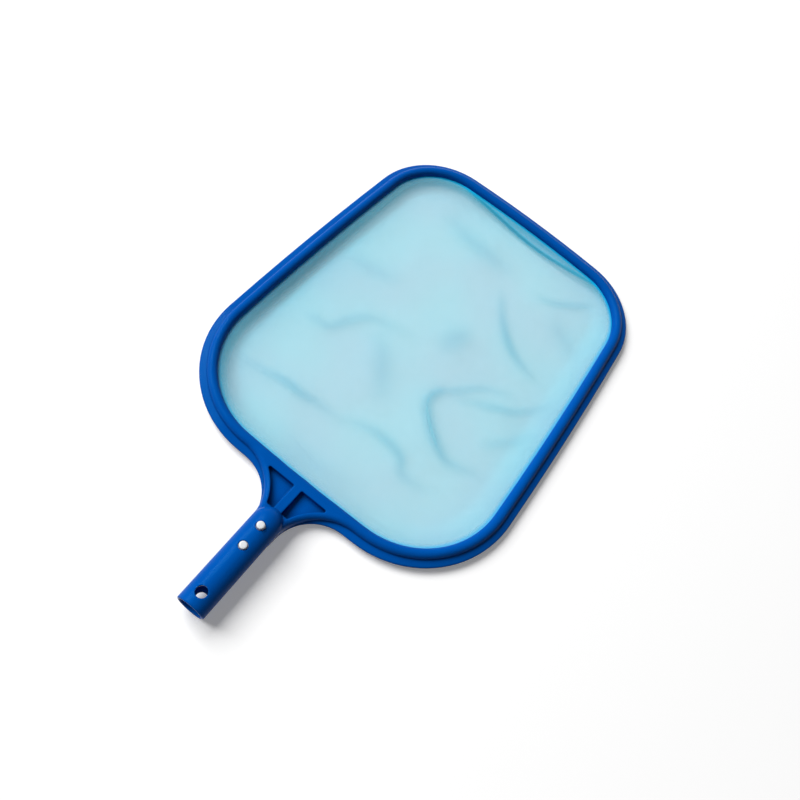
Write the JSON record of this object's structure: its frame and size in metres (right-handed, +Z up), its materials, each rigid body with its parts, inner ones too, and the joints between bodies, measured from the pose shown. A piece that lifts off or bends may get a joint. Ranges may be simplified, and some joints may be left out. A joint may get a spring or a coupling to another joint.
{
  "type": "leaf skimmer net",
  "caption": "Flat pool leaf skimmer: fine mesh clamped in a moulded rim, with a tubular handle socket whose sprung button clip locks into a telescopic pole.",
  "frame": {"origin": "middle of the footprint, on the floor that the skimmer lies on", "axes": "+X from the handle's mouth towards the leading edge, +Y across the net, +Z up out of the net"},
  "size_m": [0.5458, 0.3372, 0.0342],
  "materials": {
    "moulded_frame": "blue moulded polypropylene, glossy with a fine grain",
    "mesh": "fine light cyan nylon mesh, translucent",
    "white_acetal": "white moulded acetal, satin"
  },
  "bodies": {
    "skimmer": {"frame_and_handle": "moulded_frame", "fine_net": "mesh", "net_clamp_hoop": "moulded_frame", "snap_clip_bow": "white_acetal"},
    "upper_leg": {"snap_clip_upper_leg": "white_acetal"},
    "lower_leg": {"snap_clip_lower_leg": "white_acetal"}
  },
  "joints": [
    {"name": "upper_buttons_press", "type": "hinge", "parent": "skimmer", "child": "upper_leg", "pos_m": [-0.23695, 0, 0.027], "axis": [0, 1, 0], "range_deg": [0, 4], "stiffness_Nm_per_rad": 8, "springref_deg": -1.43},
    {"name": "lower_buttons_press", "type": "hinge", "parent": "skimmer", "child": "lower_leg", "pos_m": [-0.23695, 0, 0.0074], "axis": [0, -1, 0], "range_deg": [0, 4], "stiffness_Nm_per_rad": 8, "springref_deg": -1.43}
  ]
}
